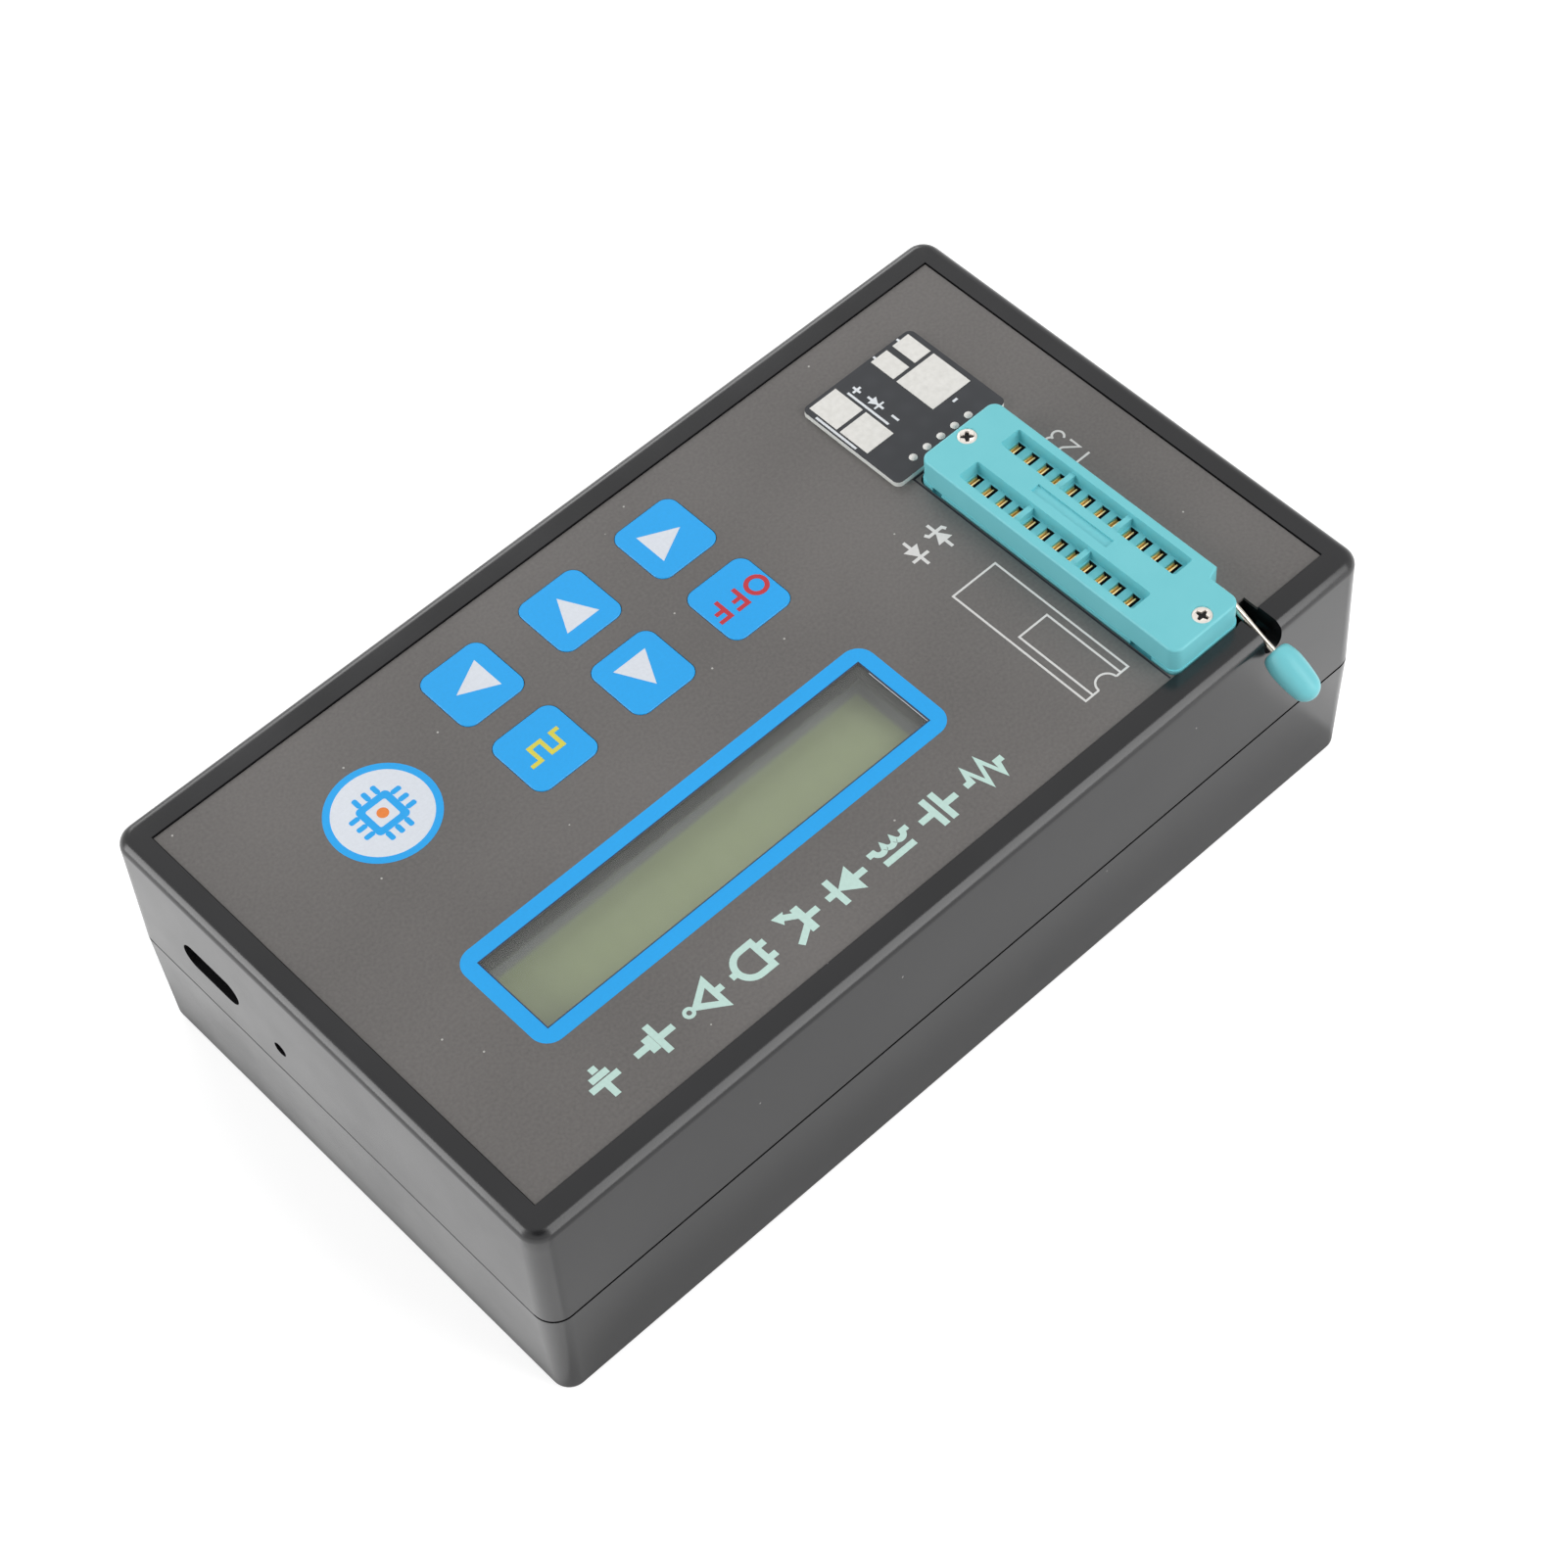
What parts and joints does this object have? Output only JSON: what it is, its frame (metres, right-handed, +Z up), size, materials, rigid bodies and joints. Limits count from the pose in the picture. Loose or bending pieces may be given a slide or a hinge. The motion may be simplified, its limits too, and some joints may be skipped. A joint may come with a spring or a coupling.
{
  "type": "component tester",
  "caption": "Box-shaped electronic component tester with a display window, film keys, a lever-operated test socket and an adapter board for small parts.",
  "frame": {"origin": "centre of the bottom resting face", "axes": "+X to the user's right (charging socket end), +Y away from the user (display side), +Z up"},
  "size_m": [0.1418, 0.0893, 0.0446],
  "materials": {
    "case_plastic": "satin moulded ABS, black",
    "screw_steel": "zinc-plated steel",
    "panel_film": "matt grained polyester film, grey print",
    "key_film": "matt film printed blue",
    "clear_film": "clear glossy film",
    "plunger_plastic": "black nylon",
    "black_plastic": "black moulded plastic",
    "board_green": "solder-masked fibreglass",
    "white_nylon": "natural nylon",
    "bezel_black": "black-oxide steel sheet",
    "lcd_grey": "grey-green reflective display glass",
    "adapter_black": "black solder-masked fibreglass",
    "pad_tin": "tin-plated copper",
    "socket_teal": "moulded glass-filled nylon, teal",
    "contact_brass": "stamped spring brass",
    "lever_steel": "nickel-plated steel wire",
    "shell_steel": "drawn stainless sheet",
    "lamp_clear": "clear epoxy",
    "cell_wrap": "shrink sleeve"
  },
  "bodies": {
    "case": {"top_shell": "case_plastic", "bottom_shell": "case_plastic", "case_screws": "screw_steel", "board_screws": "screw_steel", "lcd_screws": "screw_steel", "lcd_nuts": "screw_steel", "socket_screws": "screw_steel", "panel_overlay": "panel_film", "lcd_window": "clear_film", "switch_bodies": "black_plastic", "lcd_header": "black_plastic", "adapter_header": "black_plastic", "socket_risers": "black_plastic", "cell_holder": "black_plastic", "controller_chip": "black_plastic", "usb_tongue": "black_plastic", "main_board": "board_green", "lcd_board": "board_green", "lcd_spacers": "white_nylon", "lcd_backlight": "white_nylon", "lcd_bezel": "bezel_black", "lcd_glass": "lcd_grey", "adapter_board": "adapter_black", "adapter_pads": "pad_tin", "solder_beads": "pad_tin", "socket_base": "socket_teal", "socket_cover": "socket_teal", "socket_contacts": "contact_brass", "cell_contacts": "contact_brass", "usb_socket": "shell_steel", "quartz_crystal": "shell_steel", "charge_lamp": "lamp_clear", "cell": "cell_wrap"},
    "lever": {"socket_lever": "lever_steel", "lever_knob": "socket_teal"},
    "slider": {"socket_slider": "socket_teal"},
    "left_button": {"left_key": "key_film", "left_plunger": "plunger_plastic"},
    "down_button": {"down_key": "key_film", "down_plunger": "plunger_plastic"},
    "right_button": {"right_key": "key_film", "right_plunger": "plunger_plastic"},
    "off_button": {"off_key": "key_film", "off_plunger": "plunger_plastic"},
    "up_button": {"up_key": "key_film", "up_plunger": "plunger_plastic"},
    "test_button": {"test_key": "key_film", "test_plunger": "plunger_plastic"}
  },
  "joints": [
    {"name": "lever_swing", "type": "hinge", "parent": "case", "child": "lever", "pos_m": [-0.0527, 0.0319, 0.04185], "axis": [1, 0, 0], "range_deg": [0, 105]},
    {"name": "slider_slide", "type": "slide", "parent": "case", "child": "slider", "axis": [0, 1, 0], "range_m": [0, 0.000793]},
    {"name": "left_press", "type": "slide", "parent": "case", "child": "left_button", "axis": [0, 0, -1], "range_m": [0, 0.0003], "stiffness_N_per_m": 4000},
    {"name": "down_press", "type": "slide", "parent": "case", "child": "down_button", "axis": [0, 0, -1], "range_m": [0, 0.0003], "stiffness_N_per_m": 4000},
    {"name": "right_press", "type": "slide", "parent": "case", "child": "right_button", "axis": [0, 0, -1], "range_m": [0, 0.0003], "stiffness_N_per_m": 4000},
    {"name": "off_press", "type": "slide", "parent": "case", "child": "off_button", "axis": [0, 0, -1], "range_m": [0, 0.0003], "stiffness_N_per_m": 4000},
    {"name": "up_press", "type": "slide", "parent": "case", "child": "up_button", "axis": [0, 0, -1], "range_m": [0, 0.0003], "stiffness_N_per_m": 4000},
    {"name": "test_press", "type": "slide", "parent": "case", "child": "test_button", "axis": [0, 0, -1], "range_m": [0, 0.0003], "stiffness_N_per_m": 4000}
  ],
  "couplings": [
    {"joint": "lever_swing", "follows": "slider_slide", "rad_per_m": 2309.9}
  ]
}
